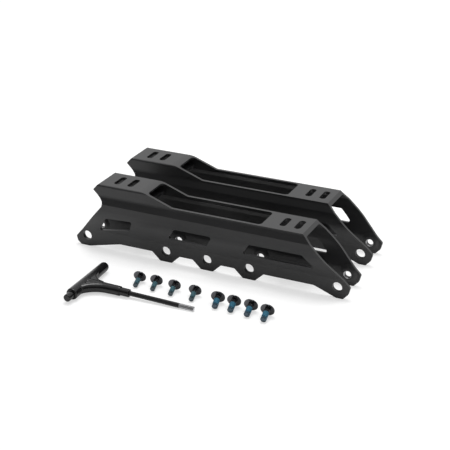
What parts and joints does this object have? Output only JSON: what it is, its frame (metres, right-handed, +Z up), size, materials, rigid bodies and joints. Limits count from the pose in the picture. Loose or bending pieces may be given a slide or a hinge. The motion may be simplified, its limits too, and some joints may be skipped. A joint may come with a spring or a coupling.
{
  "type": "inline skate frame",
  "caption": "Channel-section aluminium inline skate frames with a raised heel deck, slotted boot mounts and windowed walls, laid out with their flanged screws and a T-handle hex key.",
  "frame": {"origin": "on the table, under the middle of the whole kit", "axes": "+X along the frames from heel to toe, +Y across them from the key to the far frame, +Z up"},
  "size_m": [0.3031, 0.231, 0.0715],
  "materials": {
    "frame_alloy": "satin black anodised",
    "screw_steel": "bright dark plating",
    "teal_thread_lock": "matte coating",
    "blue_thread_lock": "matte coating",
    "key_plastic": "gloss",
    "key_steel": "black, bare at the tip"
  },
  "bodies": {
    "near_frame": {"near_frame": "frame_alloy"},
    "far_frame": {"far_frame": "frame_alloy"},
    "small_screw_1": {"small_screw_1": "screw_steel", "small_patch_1": "teal_thread_lock"},
    "small_screw_2": {"small_screw_2": "screw_steel", "small_patch_2": "teal_thread_lock"},
    "small_screw_3": {"small_screw_3": "screw_steel", "small_patch_3": "teal_thread_lock"},
    "small_screw_4": {"small_screw_4": "screw_steel", "small_patch_4": "teal_thread_lock"},
    "large_screw_1": {"large_screw_1": "screw_steel", "large_patch_1": "blue_thread_lock"},
    "large_screw_2": {"large_screw_2": "screw_steel", "large_patch_2": "blue_thread_lock"},
    "large_screw_3": {"large_screw_3": "screw_steel", "large_patch_3": "blue_thread_lock"},
    "large_screw_4": {"large_screw_4": "screw_steel", "large_patch_4": "blue_thread_lock"},
    "key": {"key_handle": "key_plastic", "key_ferrule": "key_plastic", "key_shaft": "key_steel", "key_pusher": "key_plastic"}
  },
  "joints": [
    {"name": "far_frame_lift", "type": "slide", "parent": "near_frame", "child": "far_frame", "axis": [0, 0, 1], "range_m": [0, 0.09]},
    {"name": "small_screw_1_lift", "type": "slide", "parent": "near_frame", "child": "small_screw_1", "axis": [0, 0, 1], "range_m": [0, 0.04]},
    {"name": "small_screw_2_lift", "type": "slide", "parent": "near_frame", "child": "small_screw_2", "axis": [0, 0, 1], "range_m": [0, 0.04]},
    {"name": "small_screw_3_lift", "type": "slide", "parent": "near_frame", "child": "small_screw_3", "axis": [0, 0, 1], "range_m": [0, 0.04]},
    {"name": "small_screw_4_lift", "type": "slide", "parent": "near_frame", "child": "small_screw_4", "axis": [0, 0, 1], "range_m": [0, 0.04]},
    {"name": "large_screw_1_lift", "type": "slide", "parent": "near_frame", "child": "large_screw_1", "axis": [0, 0, 1], "range_m": [0, 0.04]},
    {"name": "large_screw_2_lift", "type": "slide", "parent": "near_frame", "child": "large_screw_2", "axis": [0, 0, 1], "range_m": [0, 0.04]},
    {"name": "large_screw_3_lift", "type": "slide", "parent": "near_frame", "child": "large_screw_3", "axis": [0, 0, 1], "range_m": [0, 0.04]},
    {"name": "large_screw_4_lift", "type": "slide", "parent": "near_frame", "child": "large_screw_4", "axis": [0, 0, 1], "range_m": [0, 0.04]},
    {"name": "key_lift", "type": "slide", "parent": "near_frame", "child": "key", "axis": [0, 0, 1], "range_m": [0, 0.04]}
  ]
}
